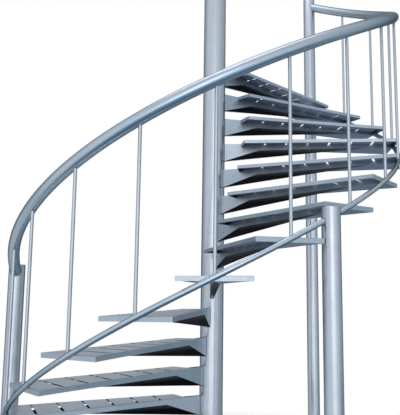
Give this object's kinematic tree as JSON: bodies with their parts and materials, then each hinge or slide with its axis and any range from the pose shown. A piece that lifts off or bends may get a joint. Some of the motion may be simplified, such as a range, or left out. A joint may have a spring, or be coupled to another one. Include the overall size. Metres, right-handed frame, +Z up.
{
  "type": "spiral staircase",
  "caption": "Steel spiral staircase with slotted sheet treads on a central column, a helical outer string, round balusters and a tube handrail carried by posts.",
  "frame": {"origin": "column axis at the underside of its base plate, on the floor", "axes": "+Z up along the column; -Y towards the side the picture is taken from; the stair climbs counter-clockwise seen from above"},
  "size_m": [2.8527, 2.5465, 3.975],
  "materials": {
    "tread_sheet": "galvanised folded sheet, satin",
    "bar_steel": "galvanised round bar, satin",
    "handrail_tube": "galvanised tube, satin",
    "string_tube": "galvanised tube, satin",
    "plate_steel": "galvanised plate, satin",
    "post_tube": "galvanised tube, satin"
  },
  "bodies": {
    "root": {"column": "post_tube", "column_base": "plate_steel", "column_cap": "post_tube", "start_post": "post_tube", "start_post_base": "plate_steel", "start_post_cap": "post_tube", "support_post": "post_tube", "support_post_base": "plate_steel", "support_post_cap": "post_tube", "rear_post": "post_tube", "rear_post_base": "plate_steel", "rear_post_cap": "post_tube", "tread_01": "tread_sheet", "tread_02": "tread_sheet", "tread_03": "tread_sheet", "tread_04": "tread_sheet", "tread_05": "tread_sheet", "tread_06": "tread_sheet", "tread_07": "tread_sheet", "tread_08": "tread_sheet", "tread_09": "tread_sheet", "tread_10": "tread_sheet", "tread_11": "tread_sheet", "tread_12": "tread_sheet", "tread_13": "tread_sheet", "tread_14": "tread_sheet", "baluster_01": "bar_steel", "baluster_02": "bar_steel", "baluster_03": "bar_steel", "baluster_04": "bar_steel", "baluster_05": "bar_steel", "baluster_06": "bar_steel", "baluster_07": "bar_steel", "baluster_08": "bar_steel", "baluster_09": "bar_steel", "baluster_10": "bar_steel", "baluster_11": "bar_steel", "baluster_12": "bar_steel", "handrail": "handrail_tube", "lower_string": "string_tube", "upper_string": "string_tube"}
  },
  "joints": []
}
